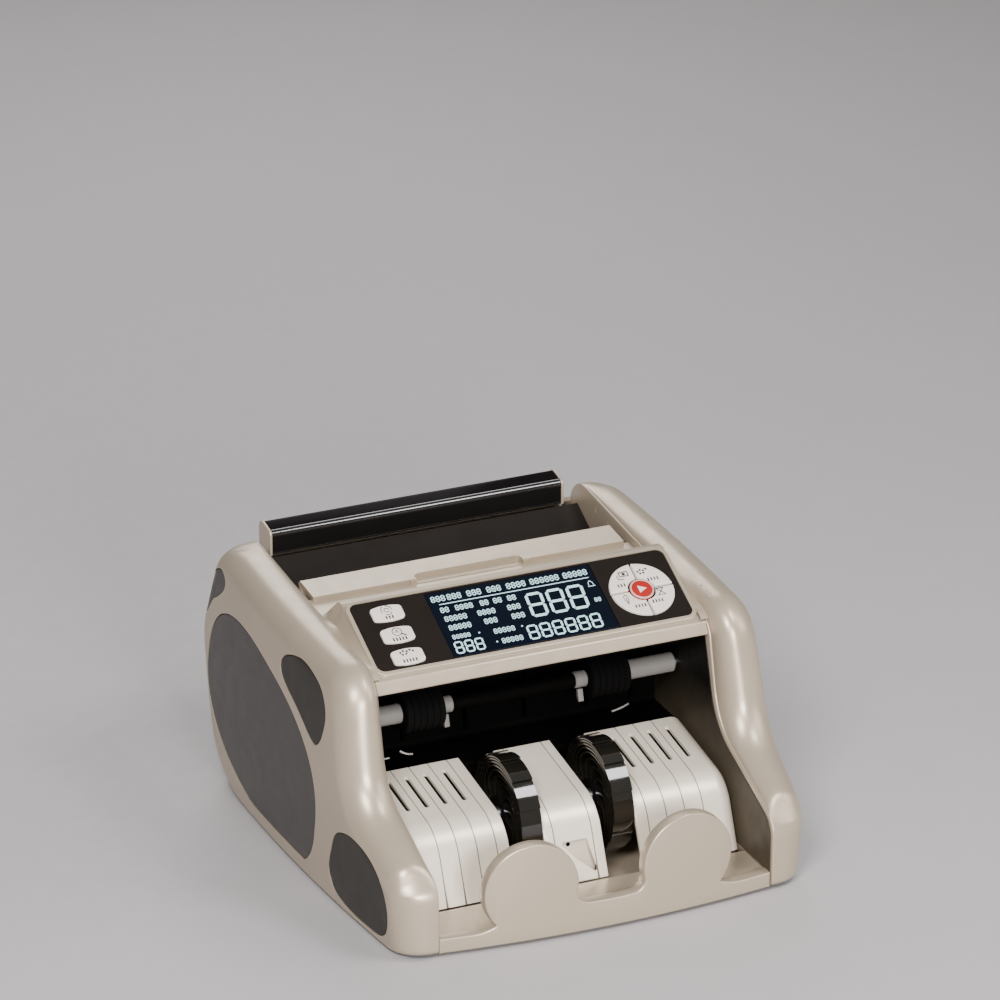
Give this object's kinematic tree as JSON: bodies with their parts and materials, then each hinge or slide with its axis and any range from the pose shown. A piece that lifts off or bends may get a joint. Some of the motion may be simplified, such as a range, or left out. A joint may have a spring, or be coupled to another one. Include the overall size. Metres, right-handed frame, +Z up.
{
  "type": "banknote counting machine",
  "caption": "Desktop banknote counter: rear hopper, tilted display and key panel, open front stacker with two vaned impellers, curved side covers with dark inlays.",
  "frame": {"origin": "on the table under the middle of the machine's box (bottom centre of its bounding box)", "axes": "+X to the machine's right seen from its front, +Y towards its hopper at the back, +Z up"},
  "size_m": [0.2898, 0.3199, 0.1695],
  "materials": {
    "shell": "warm light grey ABS, satin, finely textured",
    "inlay": "dark grey soft-touch plastic, matt",
    "stacker": "silver-cream moulded plastic, satin",
    "matt_black": "black plastic, matt",
    "gloss_black": "black plastic, mirror-like gloss",
    "impeller": "black flexible plastic vanes, semi-gloss",
    "pulley": "black moulded plastic, matt",
    "fascia": "brown-black printed film, satin",
    "key_white": "white plastic, satin",
    "key_red": "red plastic, satin, with a pale rim",
    "steel": "plain steel",
    "motor_case": "zinc-plated steel can",
    "laminations": "varnished steel laminations with a wound coil",
    "rubber": "black rubber, matt",
    "board": "green circuit board with solder mask",
    "display_glass": "dark glossy display window with lit pale-cyan segments"
  },
  "bodies": {
    "housing": {"base_tray": "shell", "left_side_cover": "shell", "right_side_cover": "shell", "rear_cover": "shell", "display_hood": "shell", "front_stopper": "shell", "hopper_front_plate": "shell", "bar_cap_left": "shell", "bar_cap_right": "shell", "control_fascia": "fascia", "lcd_window": "display_glass", "display_module": "board", "main_board": "board", "power_transformer": "laminations", "drive_motor": "motor_case", "hopper_floor": "matt_black", "bay_liner": "matt_black", "hopper_bar": "gloss_black", "stacker_plate_left": "stacker", "stacker_plate_center": "stacker", "stacker_plate_right": "stacker", "side_frame_left": "steel", "side_frame_right": "steel", "timing_belt": "rubber", "motor_belt": "rubber", "ac_inlet": "matt_black", "foot_front_left": "rubber", "foot_front_right": "rubber", "foot_rear_left": "rubber", "foot_rear_right": "rubber", "left_inlay_oval": "inlay", "left_inlay_upper_front": "inlay", "left_inlay_lower_front": "inlay", "left_inlay_upper_rear": "inlay", "right_inlay_oval": "inlay", "right_inlay_upper_front": "inlay", "right_inlay_lower_front": "inlay", "right_inlay_upper_rear": "inlay"},
    "impeller": {"impeller_shaft": "steel", "impeller_wheel_left": "impeller", "impeller_wheel_right": "impeller", "impeller_pulley": "pulley"},
    "transport": {"transport_shaft": "steel", "transport_roller_left": "rubber", "transport_roller_right": "rubber", "transport_pulley": "pulley"},
    "feed": {"feed_shaft": "steel", "feed_roller_left": "rubber", "feed_roller_right": "rubber", "feed_pulley": "pulley"},
    "motor_rotor": {"motor_pulley": "pulley"},
    "switch_rocker": {"power_switch": "matt_black"},
    "function_key_top": {"function_key_top": "key_white"},
    "function_key_middle": {"function_key_middle": "key_white"},
    "function_key_bottom": {"function_key_bottom": "key_white"},
    "pad_key_upper_right": {"pad_key_upper_right": "key_white"},
    "pad_key_upper_left": {"pad_key_upper_left": "key_white"},
    "pad_key_lower_left": {"pad_key_lower_left": "key_white"},
    "pad_key_lower_right": {"pad_key_lower_right": "key_white"},
    "start_button": {"start_button": "key_red"}
  },
  "joints": [
    {"name": "transport_spin", "type": "hinge", "parent": "housing", "child": "transport", "pos_m": [0, -0.013, 0.095], "axis": [1, 0, 0], "continuous": true},
    {"name": "impeller_spin", "type": "hinge", "parent": "housing", "child": "impeller", "pos_m": [0, -0.066, 0.043], "axis": [1, 0, 0], "continuous": true},
    {"name": "feed_spin", "type": "hinge", "parent": "housing", "child": "feed", "pos_m": [0, 0.084, 0.104], "axis": [1, 0, 0], "continuous": true},
    {"name": "motor_spin", "type": "hinge", "parent": "housing", "child": "motor_rotor", "pos_m": [0, 0.088, 0.042], "axis": [1, 0, 0], "continuous": true},
    {"name": "power_switch_rock", "type": "hinge", "parent": "housing", "child": "switch_rocker", "pos_m": [0.038, 0.1458, 0.03627], "axis": [-1, 0, 0], "range_deg": [0, 14]},
    {"name": "function_key_top_press", "type": "slide", "parent": "housing", "child": "function_key_top", "axis": [0, 0.4352, -0.9003], "range_m": [0, 0.001], "stiffness_N_per_m": 400, "springref_m": -0.0005},
    {"name": "function_key_middle_press", "type": "slide", "parent": "housing", "child": "function_key_middle", "axis": [0, 0.4352, -0.9003], "range_m": [0, 0.001], "stiffness_N_per_m": 400, "springref_m": -0.0005},
    {"name": "function_key_bottom_press", "type": "slide", "parent": "housing", "child": "function_key_bottom", "axis": [0, 0.4352, -0.9003], "range_m": [0, 0.001], "stiffness_N_per_m": 400, "springref_m": -0.0005},
    {"name": "pad_key_upper_right_press", "type": "slide", "parent": "housing", "child": "pad_key_upper_right", "axis": [0, 0.4352, -0.9003], "range_m": [0, 0.001], "stiffness_N_per_m": 400, "springref_m": -0.0005},
    {"name": "pad_key_upper_left_press", "type": "slide", "parent": "housing", "child": "pad_key_upper_left", "axis": [0, 0.4352, -0.9003], "range_m": [0, 0.001], "stiffness_N_per_m": 400, "springref_m": -0.0005},
    {"name": "pad_key_lower_left_press", "type": "slide", "parent": "housing", "child": "pad_key_lower_left", "axis": [0, 0.4352, -0.9003], "range_m": [0, 0.001], "stiffness_N_per_m": 400, "springref_m": -0.0005},
    {"name": "pad_key_lower_right_press", "type": "slide", "parent": "housing", "child": "pad_key_lower_right", "axis": [0, 0.4352, -0.9003], "range_m": [0, 0.001], "stiffness_N_per_m": 400, "springref_m": -0.0005},
    {"name": "start_button_press", "type": "slide", "parent": "housing", "child": "start_button", "axis": [0, 0.4352, -0.9003], "range_m": [0, 0.001], "stiffness_N_per_m": 400, "springref_m": -0.0005}
  ],
  "couplings": [
    {"joint": "impeller_spin", "follows": "transport_spin", "ratio": 0.58333},
    {"joint": "feed_spin", "follows": "transport_spin", "ratio": 1.1667},
    {"joint": "motor_spin", "follows": "transport_spin", "ratio": 2.5}
  ]
}
